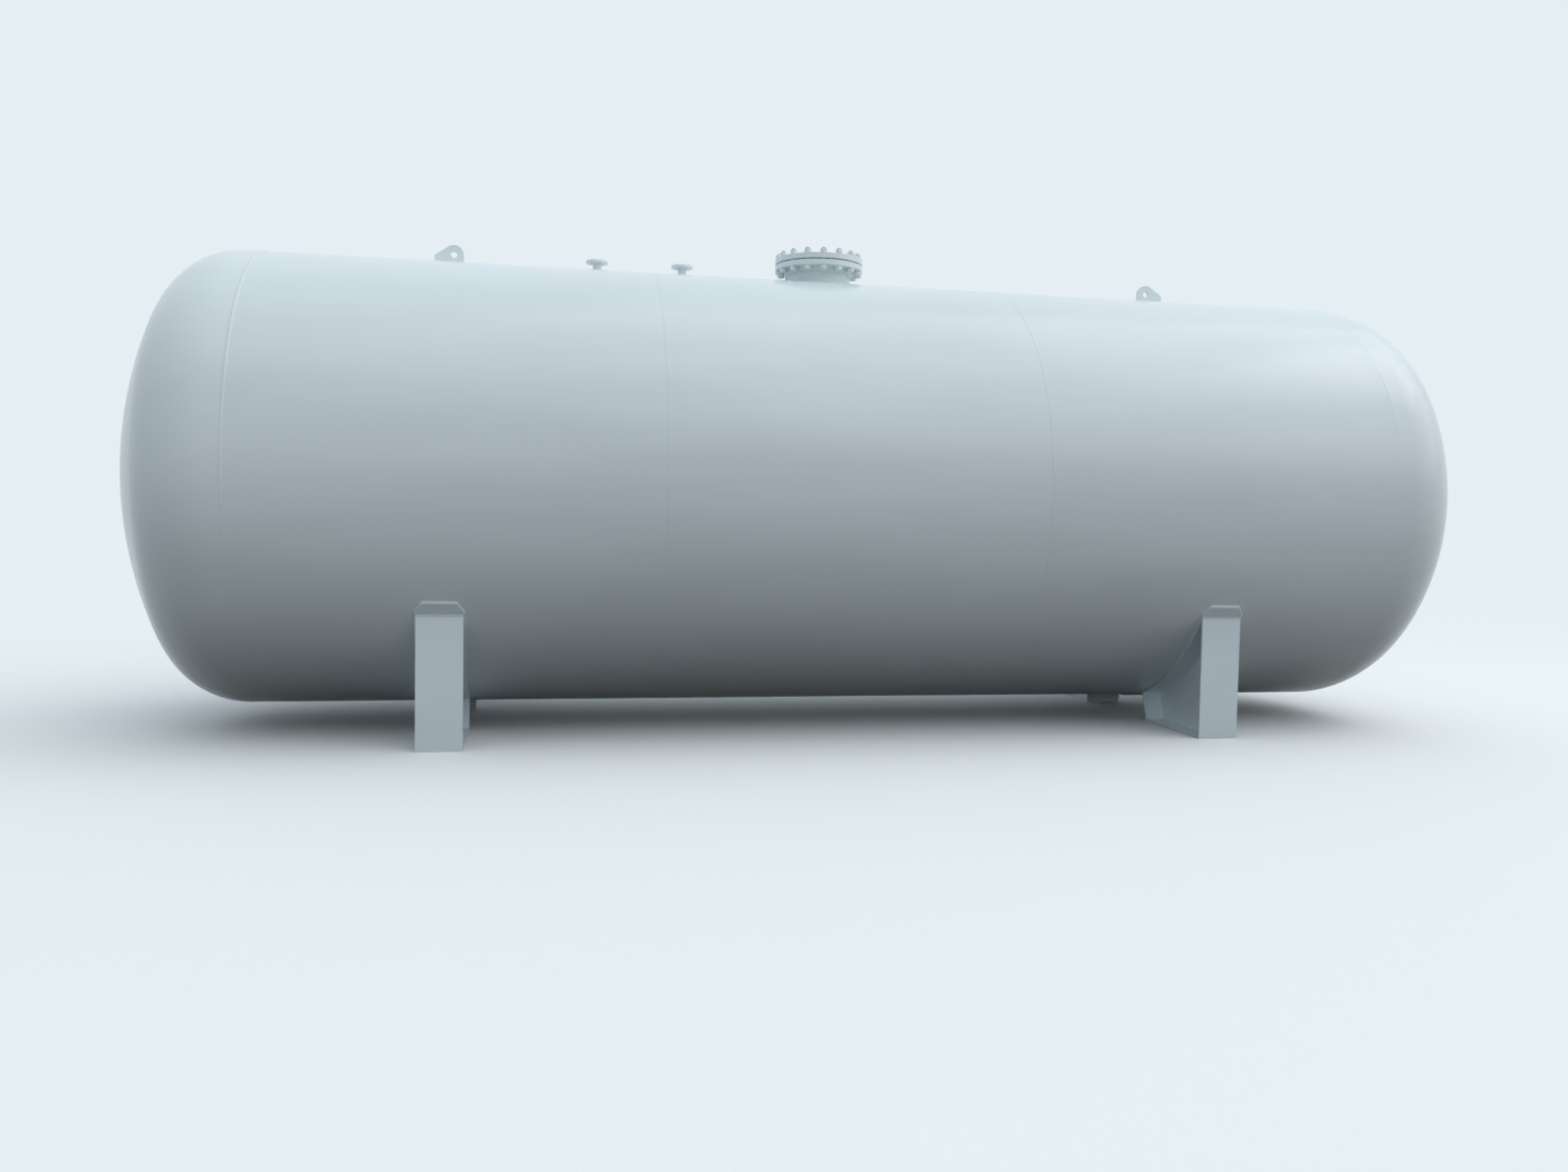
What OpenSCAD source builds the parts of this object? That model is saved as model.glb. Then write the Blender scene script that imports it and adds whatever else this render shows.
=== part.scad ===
// Horizontal welded steel pressure tank: three rolled courses, two dished heads and four plate legs.
// Millimetres. X runs along the tank, Z is up, and the origin is on the ground under the tank's middle.
// The front is the -Y side, and left and right are as seen from it.

/* [Vessel] */
// Outside diameter of the shell
shell_od = 3000; // [2400:10:3200]
// Wall of the shell courses
shell_wall = 18; // [10:1:30]
// Wall of the two heads
head_wall = 18; // [10:1:30]
// Length of the middle one of the three rolled courses
middle_l = 2460; // [2400:10:3000]
// Length of each of the two outer courses
outer_l = 2520; // [2400:10:3000]
// Straight rim of a head, from its weld to the start of the dish
head_rim = 100; // [50:1:150]
// Crown radius of a head
crown_r = 2700; // [2400:10:3200]
// Knuckle radius of a head
knuckle_r = 510; // [350:10:600]
// Height of the shell's underside above the ground
belly_h = 150; // [140:5:700]

/* [Legs] */
// Distance of each pair of legs from the tank's middle, along the tank
leg_x = 2573; // [1900:1:3000]
// Distance that an end plate's outer face stands in from the shell's side
leg_inset = 232; // [200:1:400]
// Length of the sole plates, across the tank
sole_l = 768; // [600:1:900]
// Width of the end plates, inner ribs and sole plates
leg_w = 280; // [240:5:400]
// Thickness of the end plates
end_plate_t = 16; // [10:1:25]
// Thickness of the inner ribs
rib_t = 16; // [10:1:25]
// Thickness of the webs
web_t = 16; // [10:1:25]
// Thickness of the sole plates
sole_t = 20; // [12:1:30]
// Diameter of the anchor holes
anchor_d = 28; // [22:1:36]
// Distance of an anchor hole from the web's middle plane
anchor_x = 90; // [60:1:95]
// Travel of the anchor slots under the right legs, where the tank may grow along its length
anchor_travel = 24; // [10:1:40]

/* [Wear pads] */
// Width of the pads along the tank
pad_w = 290; // [250:5:400]
// Thickness of the pads
pad_t = 12; // [8:1:20]
// Reach of a pad past the end plates, measured round the shell
pad_reach = 88; // [60:1:150]
// Clip of a pad's corners, along the tank
pad_clip = 45; // [20:1:80]
// Clip of a pad's corners, round the shell
pad_clip_round = 70; // [20:1:100]

/* [Lifting lugs] */
// Distance of a lug's eye from the tank's middle
lug_x = 2577; // [1900:1:3000]
// Thickness of a lug
lug_t = 25; // [16:1:40]
// Diameter of a lug's eye
eye_d = 45; // [30:1:60]
// Height of the eye above the foot of the lug
eye_h = 72; // [55:1:100]
// Radius of the rounded nose round the eye
nose_r = 66; // [50:1:80]
// Distance from the eye to the end of the tail
tail_l = 129; // [100:1:200]
// Height of the tail's end
tail_h = 62; // [20:1:70]

/* [Manway] */
// Place of the manway along the tank
manway_x = 0; // [-500:5:500]
// Height of the cover's top above the top of the shell
manway_rise = 180; // [170:1:300]
// Outside diameter of the neck
neck_od = 457; // [406:1:480]
// Wall of the neck
neck_wall = 14; // [8:1:20]
// Outside diameter of the flange and of the cover
flange_od = 635; // [630:1:720]
// Thickness of the flange, without its raised face
flange_t = 38; // [25:1:45]
// Thickness of the cover, without its raised face
cover_t = 38; // [25:1:45]
// Diameter of the raised faces
face_d = 533; // [520:1:540]
// Height of the raised faces
face_h = 1.6; // [1:0.1:3]
// Diameter of the hub under the flange
hub_d = 505; // [490:1:530]
// Height of the hub under the flange
hub_h = 28; // [15:1:35]
// Bolt circle of the flange and of the cover
bolt_circle = 578; // [575:1:590]
// Number of bolt holes
bolt_count = 16; // [12:4:20]
// Diameter of the bolt holes
bolt_hole_d = 32; // [26:1:34]
// Turn of the bolt holes, clockwise from the front as seen from above
bolt_turn = -6; // [-11:1:11]
// Inside diameter of the gasket
gasket_id = 485; // [482:1:500]
// Thickness of the gasket
gasket_t = 4.5; // [2:0.5:6]

/* [Nozzles] */
// Place of the left nozzle along the tank
nozzle_left_x = -1600; // [-2200:5:-1400]
// Place of the right nozzle along the tank
nozzle_right_x = -1000; // [-1100:5:-600]
// Height of a nozzle's face above the top of the shell
nozzle_rise = 87; // [60:1:200]
// Outside diameter of a nozzle's pipe
pipe_od = 60.3; // [48.3:0.1:70]
// Wall of a nozzle's pipe
pipe_wall = 3.9; // [3:0.1:8]
// Outside diameter of a nozzle's flange
nozzle_flange_od = 152.4; // [150:0.1:185]
// Thickness of a nozzle's flange, without its raised face
nozzle_flange_t = 17.5; // [14:0.5:24]
// Diameter of a nozzle's raised face
nozzle_face_d = 92; // [86:1:98]
// Height of a nozzle's raised face
nozzle_face_h = 1.6; // [1:0.1:3]
// Diameter of the hub under a nozzle's flange
nozzle_hub_d = 78; // [76:1:92]
// Height of the hub under a nozzle's flange
nozzle_hub_h = 6.5; // [4:0.5:15]
// Bolt circle of a nozzle's flange
nozzle_bolt_circle = 120.7; // [118:0.1:125]
// Number of bolt holes in a nozzle's flange
nozzle_bolt_count = 4; // [4:4:8]
// Diameter of the bolt holes in a nozzle's flange
nozzle_bolt_hole_d = 19; // [14:1:20]

/* [Fits] */
// Clearance of a piece from the curved plate that carries it
seat = 0.3; // [0.1:0.1:0.5]
// Clearance of a neck in its flange and in the shell's hole
neck_fit = 0.3; // [0.2:0.1:0.6]
// Distance that a neck stops short of its flange's face
neck_setback = 6; // [3:1:12]

/* [Hidden] */

$fn = 96;
white = "#e9eef1";
gasket_grey = "#4a4c4e";

shell_r = shell_od / 2;
shell_bore_r = shell_r - shell_wall;
half_l = middle_l / 2 + outer_l;
axis_h = belly_h + shell_r;
top_z = axis_h + shell_r;
// How far the crown arc's centre lies behind the start of the dish
crown_drop = sqrt(pow(crown_r - knuckle_r, 2) - pow(shell_r - knuckle_r, 2));
pad_r = shell_r + seat + pad_t;
leg_top_r = pad_r + seat;
// The legs' outer and inner faces, measured from the tank's centre plane
leg_out = shell_r - leg_inset;
leg_in = leg_out - sole_l;
// Turn of a pad's ends from straight down
pad_turn = asin(leg_out / leg_top_r) + pad_reach / pad_r * 180 / PI;
// Lean of the inner ribs, which point at the tank's axis
rib_lean = atan2(leg_in, axis_h - sole_t);
web_to = leg_out - end_plate_t;
anchor_y = (leg_in + leg_out) / 2;
// The two faces that the gasket is squeezed between
gasket_top_z = top_z + manway_rise - cover_t - face_h;
gasket_foot_z = gasket_top_z - gasket_t;
nozzle_top_z = top_z + nozzle_rise;
// Length that a cut runs past the face that it opens
past = 60;

// A round bar along the tank, between two places on it
module bar(r, from, to) {
    translate([from, 0, axis_h]) rotate([0, 90, 0]) cylinder(r = r, h = to - from, $fn = 180);
}

// A standing round post between two heights
module post(x, r, from, to) {
    translate([x, 0, from]) cylinder(r = r, h = to - from);
}

// A hole through the top of the shell, in the course that carries the neck
module opening(x, neck_r, from, to) {
    if (x > from && x < to) post(x, neck_r + neck_fit, axis_h, top_z + past);
}

module shell_course(from, to) {
    color(white) difference() {
        bar(shell_r, from, to);
        bar(shell_bore_r, from - past, to + past);
        opening(manway_x, neck_od / 2, from, to);
        opening(nozzle_left_x, pipe_od / 2, from, to);
        opening(nozzle_right_x, pipe_od / 2, from, to);
    }
}

// Half of a dished outline standing on the X axis, set in from the outer one by a wall
module dish(wall) {
    intersection() {
        union() {
            translate([shell_r - knuckle_r, 0]) circle(r = knuckle_r - wall, $fn = 180);
            intersection() {
                translate([0, -crown_drop]) circle(r = crown_r - wall, $fn = 360);
                // The crown arc ends on the line through both arcs' centres
                polygon([[0, -crown_drop], [2 * (shell_r - knuckle_r), crown_drop], [0, 2 * crown_r]]);
            }
        }
        square([shell_r, crown_r]);
    }
}

// A head standing on its weld, with its crown up
module head_form() {
    rotate_extrude($fn = 180) difference() {
        union() {
            square([shell_r, head_rim]);
            translate([0, head_rim]) dish(0);
        }
        translate([0, -past]) square([shell_r - head_wall, head_rim + past]);
        translate([0, head_rim]) dish(head_wall);
    }
}

module head(side) {
    color(white) translate([side * half_l, 0, axis_h]) rotate([0, side * 90, 0]) head_form();
}

// A curved plate under the shell, with its top corners clipped
module wear_pad(side) {
    color(white) difference() {
        bar(pad_r, side * leg_x - pad_w / 2, side * leg_x + pad_w / 2);
        bar(shell_r + seat, side * leg_x - pad_w, side * leg_x + pad_w);
        translate([side * leg_x, 0, axis_h]) above_pad();
        for (end = [-1, 1], edge = [-1, 1])
            translate([side * leg_x, 0, axis_h]) pad_corner_cut(end, edge);
    }
}

// Everything above the pad's two ends, seen along the tank
module above_pad() {
    across = 2 * pad_r * sin(pad_turn);
    down = -2 * pad_r * cos(pad_turn);
    rotate([90, 0, 90]) translate([0, 0, -pad_w]) linear_extrude(2 * pad_w)
        polygon([[0, 0], [across, down], [2 * pad_r, 2 * pad_r], [-2 * pad_r, 2 * pad_r], [-across, down]]);
}

// A clip across one corner, drawn flat on the pad's end with X along the tank and Y round the shell
module pad_corner_cut(end, edge) {
    slope = pad_clip_round / pad_clip;
    rotate([end * pad_turn, 0, 0]) translate([edge * pad_w / 2, 0, -pad_r - past])
        linear_extrude(pad_t + 2 * past) polygon([
            [-edge * (pad_clip + past), end * slope * past],
            [edge * past, -end * (pad_clip_round + slope * past)],
            [edge * past, end * slope * past]
        ]);
}

// Puts a piece drawn for the leg at +X and +Y at one of the four corners
module at_leg(side, face) {
    translate([side * leg_x, 0, 0]) mirror([0, face < 0 ? 1 : 0, 0]) children();
}

// Cuts a leg's plate to the curve of the wear pad and to the top of the sole plate
module trimmed(side) {
    color(white) difference() {
        children();
        bar(leg_top_r, side * leg_x - leg_w, side * leg_x + leg_w);
        translate([side * leg_x - leg_w, -shell_od, sole_t - axis_h]) cube([2 * leg_w, 2 * shell_od, axis_h]);
    }
}

// A slab that hangs from the tank's axis with the inner rib's lean, from one face to another
module leaning_slab(width, from, to) {
    translate([-width / 2, 0, axis_h]) rotate([rib_lean, 0, 0])
        translate([0, from, -shell_od]) cube([width, to - from, shell_od]);
}

module end_plate(side, face) {
    trimmed(side) at_leg(side, face) translate([-leg_w / 2, web_to, 0]) cube([leg_w, end_plate_t, axis_h]);
}

module web(side, face) {
    trimmed(side) at_leg(side, face) difference() {
        translate([-web_t / 2, 0, 0]) cube([web_t, web_to, axis_h]);
        leaning_slab(2 * leg_w, -shell_od, rib_t);
    }
}

module inner_rib(side, face) {
    trimmed(side) at_leg(side, face) leaning_slab(leg_w, 0, rib_t);
}

// The left legs are held by round holes, and the right ones may slide along the tank
module sole_plate(side, face) {
    travel = side > 0 ? anchor_travel : 0;
    color(white) at_leg(side, face) difference() {
        translate([-leg_w / 2, leg_in, 0]) cube([leg_w, leg_out - leg_in, sole_t]);
        for (edge = [-1, 1]) anchor_hole(edge * anchor_x, travel);
    }
}

module anchor_hole(x, travel) {
    translate([x, anchor_y, -past]) {
        for (end = [-1, 1]) translate([end * travel / 2, 0, 0]) cylinder(d = anchor_d, h = 2 * past);
        if (travel > 0)
            translate([-travel / 2, -anchor_d / 2, 0]) cube([travel, anchor_d, 2 * past]);
    }
}

// A lifting lug drawn in the XZ plane, with its eye over the origin and its tail outwards
module lug_outline() {
    // The sloping back is tangent to the nose and meets the top of the tail
    reach = sqrt(pow(tail_l, 2) + pow(eye_h - tail_h, 2));
    touch = acos(nose_r / reach) - atan2(eye_h - tail_h, tail_l);
    difference() {
        union() {
            translate([0, eye_h]) circle(r = nose_r);
            polygon([
                [-nose_r, 0],
                [tail_l, 0],
                [tail_l, tail_h],
                [nose_r * cos(touch), eye_h + nose_r * sin(touch)],
                [0, eye_h],
                [-nose_r, eye_h]
            ]);
        }
        translate([0, eye_h]) circle(d = eye_d);
    }
}

module lifting_lug(side) {
    color(white) translate([side * lug_x, lug_t / 2, top_z + seat]) mirror([side < 0 ? 1 : 0, 0, 0])
        rotate([90, 0, 0]) linear_extrude(lug_t) lug_outline();
}

// A pipe through the shell, trimmed flush with the shell's inside
module neck(x, od, wall, to) {
    color(white) difference() {
        post(x, od / 2, axis_h + shell_bore_r / 2, to);
        post(x, od / 2 - wall, axis_h, to + past);
        bar(shell_bore_r, x - od, x + od);
    }
}

// A ring of holes; the first one is turned from the front
module bolt_holes(x, circle_d, count, hole_d, turn, from, to) {
    for (i = [0 : count - 1])
        translate([x, 0, from - past]) rotate([0, 0, -90 + turn + i * 360 / count])
            translate([circle_d / 2, 0, 0]) cylinder(d = hole_d, h = to - from + 2 * past, $fn = 36);
}

module manway_neck() {
    neck(manway_x, neck_od, neck_wall, gasket_foot_z - neck_setback);
}

module manway_flange() {
    flange_top = gasket_foot_z - face_h;
    flange_foot = flange_top - flange_t;
    color(white) difference() {
        union() {
            post(manway_x, face_d / 2, flange_top, gasket_foot_z);
            post(manway_x, flange_od / 2, flange_foot, flange_top);
            post(manway_x, hub_d / 2, flange_foot - hub_h, flange_foot);
        }
        post(manway_x, neck_od / 2 + neck_fit, flange_foot - hub_h - past, gasket_foot_z + past);
        bolt_holes(manway_x, bolt_circle, bolt_count, bolt_hole_d, bolt_turn, flange_foot, flange_top);
    }
}

module manway_gasket() {
    color(gasket_grey) difference() {
        post(manway_x, face_d / 2, gasket_foot_z, gasket_top_z);
        post(manway_x, gasket_id / 2, gasket_foot_z - past, gasket_top_z + past);
    }
}

module manway_cover() {
    cover_foot = gasket_top_z + face_h;
    color(white) difference() {
        union() {
            post(manway_x, face_d / 2, gasket_top_z, cover_foot);
            post(manway_x, flange_od / 2, cover_foot, cover_foot + cover_t);
        }
        bolt_holes(manway_x, bolt_circle, bolt_count, bolt_hole_d, bolt_turn,
            cover_foot, cover_foot + cover_t);
    }
}

module nozzle_neck(x) {
    neck(x, pipe_od, pipe_wall, nozzle_top_z - neck_setback);
}

module nozzle_flange(x) {
    flange_top = nozzle_top_z - nozzle_face_h;
    flange_foot = flange_top - nozzle_flange_t;
    color(white) difference() {
        union() {
            post(x, nozzle_face_d / 2, flange_top, nozzle_top_z);
            post(x, nozzle_flange_od / 2, flange_foot, flange_top);
            post(x, nozzle_hub_d / 2, flange_foot - nozzle_hub_h, flange_foot);
        }
        post(x, pipe_od / 2 + neck_fit, flange_foot - nozzle_hub_h - past, nozzle_top_z + past);
        bolt_holes(x, nozzle_bolt_circle, nozzle_bolt_count, nozzle_bolt_hole_d,
            180 / nozzle_bolt_count, flange_foot, flange_top);
    }
}

shell_course(-half_l, -middle_l / 2);  // shell_course_left
shell_course(-middle_l / 2, middle_l / 2);  // shell_course_middle
shell_course(middle_l / 2, half_l);  // shell_course_right
head(-1);  // head_left
head(1);  // head_right
wear_pad(-1);  // wear_pad_left
wear_pad(1);  // wear_pad_right
end_plate(-1, -1);  // end_plate_front_left
end_plate(1, -1);  // end_plate_front_right
end_plate(-1, 1);  // end_plate_back_left
end_plate(1, 1);  // end_plate_back_right
web(-1, -1);  // web_front_left
web(1, -1);  // web_front_right
web(-1, 1);  // web_back_left
web(1, 1);  // web_back_right
inner_rib(-1, -1);  // inner_rib_front_left
inner_rib(1, -1);  // inner_rib_front_right
inner_rib(-1, 1);  // inner_rib_back_left
inner_rib(1, 1);  // inner_rib_back_right
sole_plate(-1, -1);  // sole_plate_front_left
sole_plate(1, -1);  // sole_plate_front_right
sole_plate(-1, 1);  // sole_plate_back_left
sole_plate(1, 1);  // sole_plate_back_right
lifting_lug(-1);  // lifting_lug_left
lifting_lug(1);  // lifting_lug_right
manway_neck();
manway_flange();
manway_gasket();
manway_cover();
nozzle_neck(nozzle_left_x);  // nozzle_neck_left
nozzle_neck(nozzle_right_x);  // nozzle_neck_right
nozzle_flange(nozzle_left_x);  // nozzle_flange_left
nozzle_flange(nozzle_right_x);  // nozzle_flange_right
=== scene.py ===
# %% [markdown]
# # A horizontal pressure tank of welded plate
#
# The real tank is about nine metres long and three metres across. Three rolled courses of thick steel
# plate are welded end to end and closed by two dished heads. It stands on four plate legs under two
# curved wear pads, and its top carries a bolted manway, two small flanged nozzles and two lifting lugs.
# Everything but the manway's gasket is painted white.
#
# The CAD part gives the sizes. This script redraws its pieces as fine surfaces, adds what welders and
# fitters leave on such a tank (weld beads, studs, nuts), paints it and photographs it.

# %% Load the CAD part
import math

import bmesh
import bpy
import numpy as np
from mathutils import Matrix, Vector


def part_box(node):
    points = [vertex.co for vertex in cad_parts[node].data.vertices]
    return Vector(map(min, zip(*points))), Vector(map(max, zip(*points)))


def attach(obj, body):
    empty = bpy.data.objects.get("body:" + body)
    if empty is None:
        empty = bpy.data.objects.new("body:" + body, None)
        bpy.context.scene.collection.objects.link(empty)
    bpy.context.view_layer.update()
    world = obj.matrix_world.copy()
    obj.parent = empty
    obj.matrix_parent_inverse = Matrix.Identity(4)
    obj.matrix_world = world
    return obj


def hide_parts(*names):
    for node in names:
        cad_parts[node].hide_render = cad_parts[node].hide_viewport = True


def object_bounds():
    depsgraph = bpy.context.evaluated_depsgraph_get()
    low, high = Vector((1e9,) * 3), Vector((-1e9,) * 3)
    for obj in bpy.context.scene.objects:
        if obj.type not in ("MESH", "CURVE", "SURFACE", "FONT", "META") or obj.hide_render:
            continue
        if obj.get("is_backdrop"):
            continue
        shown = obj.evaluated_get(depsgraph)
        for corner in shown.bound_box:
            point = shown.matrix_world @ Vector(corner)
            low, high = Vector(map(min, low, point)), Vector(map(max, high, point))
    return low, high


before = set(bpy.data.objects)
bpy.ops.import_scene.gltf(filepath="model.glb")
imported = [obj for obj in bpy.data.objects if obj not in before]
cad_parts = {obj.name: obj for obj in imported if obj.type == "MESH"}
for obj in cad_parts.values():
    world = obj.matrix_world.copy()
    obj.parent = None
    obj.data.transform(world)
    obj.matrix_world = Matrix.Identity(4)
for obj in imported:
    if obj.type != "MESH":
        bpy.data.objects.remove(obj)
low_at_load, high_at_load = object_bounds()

print("CAD nodes:", len(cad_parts), "length", round(high_at_load.x - low_at_load.x, 3), "m")


# %% [markdown]
# ## Read the sizes off the CAD part
#
# A real fitter measures the finished tank before adding to it. Only what a box can't show, such as a
# wall or a knuckle radius, is written down once more. The fit gap is what the CAD part leaves between
# pieces that are laid on or pushed through each other.

# %% Sizes
shell_low, shell_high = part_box("shell_course_middle")
shell_radius = round((shell_high.y - shell_low.y) / 2, 3)
axis_height = round(shell_high.z - shell_radius, 3)
seam_x = round(shell_high.x, 3)
half_length = round(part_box("shell_course_right")[1].x, 3)
shell_wall = 0.018
head_rim = 0.100
crown_radius = 2.700
knuckle_radius = 0.510
fit_gap = 0.0003
manway_x = 0.0
nozzle_places = {"left": -1.600, "right": -1.000}
neck_radius, neck_wall = 0.2285, 0.014
pipe_radius, pipe_wall = 0.03015, 0.0039
# Which way each side lies along the tank
sides = {"left": -1, "right": 1}
print("shell radius", shell_radius, "axis height", axis_height, "seams at", seam_x, "and", half_length)


# %% [markdown]
# ## Put numpy surfaces into meshes
#
# Every piece below is a grid of points worked out from two parameters. `quads` numbers the four-sided
# faces of such a grid, and `make_piece` hands points and faces to Blender. Points that fall together,
# such as those at a pole or a seam, are merged, and edges sharper than 35 degrees stay crisp while the
# rest is shaded smooth.

# %% Grid faces
def quads(count_u, count_v, wrap_u=False, wrap_v=False):
    """Faces of a grid whose point (i, j) is number i * count_v + j.

    Each face joins a point to (i+1, j), (i+1, j+1) and (i, j+1).
    """
    rows, columns = np.arange(count_u - (not wrap_u)), np.arange(count_v - (not wrap_v))
    i, j = (index.ravel() for index in np.meshgrid(rows, columns, indexing="ij"))
    i_next, j_next = (i + 1) % count_u, (j + 1) % count_v
    corners = [(i, j), (i_next, j), (i_next, j_next), (i, j_next)]
    return np.stack([row * count_v + column for row, column in corners], 1)


def full_turn(count):
    """The angles of a count of even steps once round."""
    return np.linspace(0, 2 * math.pi, count + 1)[:-1]


def unit(vectors):
    """The same directions at length one."""
    return vectors / np.linalg.norm(vectors, axis=-1, keepdims=True)


# %% A finished piece from points and faces
crisp_angle, bevel_angle = math.radians(35), math.radians(40)


def in_scene(name, data):
    """A new object with its data, linked into the scene."""
    piece = bpy.data.objects.new(name, data)
    bpy.context.scene.collection.objects.link(piece)
    return piece


def make_piece(name, points, faces, slot, nodes=(), bevel=0.0, finish=None):
    """Builds the mesh, merges points closer than 0.01 mm, turns faces outwards and hangs the piece on the
    tank. Its paint is the slot's own, unless a finish names another."""
    points = np.asarray(points, float).reshape(-1, 3)
    used, faces = np.unique(np.asarray(faces), return_inverse=True)
    mesh = bpy.data.meshes.new(name)
    mesh.from_pydata(points[used].tolist(), [], faces.reshape(-1, 4).tolist())
    rough = bmesh.new()
    rough.from_mesh(mesh)
    bmesh.ops.remove_doubles(rough, verts=rough.verts, dist=1e-5)
    bmesh.ops.dissolve_degenerate(rough, edges=rough.edges, dist=1e-6)
    bmesh.ops.delete(rough, geom=[edge for edge in rough.edges if not edge.link_faces], context="EDGES")
    bmesh.ops.delete(rough, geom=[point for point in rough.verts if not point.link_faces], context="VERTS")
    bmesh.ops.recalc_face_normals(rough, faces=rough.faces)
    open_edges = sum(not edge.is_manifold for edge in rough.edges)
    rough.to_mesh(mesh)
    rough.free()
    mesh.polygons.foreach_set("use_smooth", np.ones(len(mesh.polygons), bool))
    mesh.set_sharp_from_angle(angle=crisp_angle)
    piece = in_scene(name, mesh)
    if bevel:
        edge = piece.modifiers.new("worn edge", "BEVEL")
        edge.width, edge.segments, edge.angle_limit = bevel, 2, bevel_angle
        edge.harden_normals = True
    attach(piece, "root")
    if nodes:
        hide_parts(*nodes)
    mesh.materials.append(finishes[finish or slot])
    print(f"{name}: {len(mesh.polygons)} faces, {open_edges} open edges")
    return piece


# %% [markdown]
# ## White enamel
#
# The tank is sprayed with a semi-gloss white enamel. Sprayed paint isn't flat: it dries with a fine
# orange-peel texture, the spray passes overlap in faint bands, and its gloss varies from place to place.
# A Principled shader with a noise-driven roughness and a very small bump gives that, and the faint
# bluish tint is the paint's own. The legs and pads carry a lighter, bluer copy of the same white: that is
# painted light, standing in for the sky that they reflect. The two middle seams are painted a shade
# greyer, and the beads round the pads a good deal darker, with some dust low down. All patterns read
# Object coordinates, so they lie still on the metal.

# %% Node helpers
def node_tools(tree):
    """Two short ways to work on a node tree: add a node with its settings, and join two sockets."""
    def add(kind, **settings):
        node = tree.nodes.new(kind)
        for key, value in settings.items():
            if key in node.inputs:
                node.inputs[key].default_value = value
            else:
                setattr(node, key, value)
        return node

    def join(source, target):
        tree.links.new(source, target)

    return add, join


def shader(name):
    """A material whose node tree has only a Principled shader, with the two tools to work on it."""
    material = bpy.data.materials.new(name)
    material.use_nodes = True
    tree = material.node_tree
    tree.nodes.clear()
    add, join = node_tools(tree)
    principled = add("ShaderNodeBsdfPrincipled")
    join(principled.outputs["BSDF"], add("ShaderNodeOutputMaterial").inputs["Surface"])
    return material, principled, add, join


def noise(add, join, place, **settings):
    """The value of a noise texture that is read at a place."""
    node = add("ShaderNodeTexNoise", **settings)
    join(place, node.inputs["Vector"])
    return node.outputs["Fac"]


def map_range(add, join, source, span, ends):
    """The source's value, carried from a span (low, high) to the two ends of another."""
    node = add("ShaderNodeMapRange")
    for socket, value in zip(("From Min", "From Max", "To Min", "To Max"), (*span, *ends)):
        node.inputs[socket].default_value = value
    join(source, node.inputs["Value"])
    return node.outputs["Result"]


def ramp(add, join, source, stops):
    """The colour at the source's value, between two (place, colour) stops."""
    node = add("ShaderNodeValToRGB")
    for element, stop in zip(node.color_ramp.elements, stops):
        element.position, element.color = stop
    join(source, node.inputs["Fac"])
    return node.outputs["Color"]


# %% Sprayed enamel
dust_colour = (0.33, 0.25, 0.17, 1.0)
dust_height = 0.55


def enamel(name, base, gloss, dust):
    """Paint of one base colour, with cloudy spray passes, uneven gloss and orange peel.

    Dust splashed up from the ground thins out to nothing at the dust height, broken up by a finer noise.
    """
    material, principled, add, join = shader(name)
    place = add("ShaderNodeTexCoord").outputs["Object"]
    stretch = add("ShaderNodeMapping", Scale=(0.35, 1.0, 1.6))
    join(place, stretch.inputs["Vector"])
    passes = noise(add, join, stretch.outputs["Vector"], Scale=1.3, Detail=3.0, Roughness=0.55)
    lighter = (*(min(1.0, c * 1.02) for c in base), 1.0)
    darker = (*(c * 0.965 for c in base), 1.0)
    colour = ramp(add, join, passes, [(0.35, darker), (0.65, lighter)])
    specks = noise(add, join, place, Scale=9.0, Detail=6.0, Roughness=0.7)
    split = add("ShaderNodeSeparateXYZ")
    join(place, split.inputs["Vector"])
    broken = add("ShaderNodeMath", operation="MULTIPLY")
    join(map_range(add, join, split.outputs["Z"], (0.0, dust_height), (dust, 0.0)), broken.inputs[0])
    join(specks, broken.inputs[1])
    soiled = add("ShaderNodeMix", data_type="RGBA")
    soiled.inputs["B"].default_value = dust_colour
    join(broken.outputs["Value"], soiled.inputs["Factor"])
    join(colour, soiled.inputs["A"])
    join(soiled.outputs["Result"], principled.inputs["Base Color"])
    sheen = map_range(add, join, specks, (0.3, 0.7), (gloss - 0.04, gloss + 0.05))
    join(sheen, principled.inputs["Roughness"])
    bump = add("ShaderNodeBump", Strength=0.12, Distance=0.0004)
    join(noise(add, join, place, Scale=220.0, Detail=2.0), bump.inputs["Height"])
    join(bump.outputs["Normal"], principled.inputs["Normal"])
    principled.inputs["IOR"].default_value = 1.48
    return material


# %% Gasket sheet
def gasket_sheet(name):
    """Dark fibre sheet: a grey that flecks between two tones, dull all over."""
    material, principled, add, join = shader(name)
    place = add("ShaderNodeTexCoord").outputs["Object"]
    fibre = noise(add, join, place, Scale=160.0, Detail=5.0, Roughness=0.8)
    colour = ramp(add, join, fibre, [(0.3, (0.09, 0.1, 0.1, 1)), (0.7, (0.19, 0.205, 0.2, 1))])
    join(colour, principled.inputs["Base Color"])
    principled.inputs["Roughness"].default_value = 0.85
    return material


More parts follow.
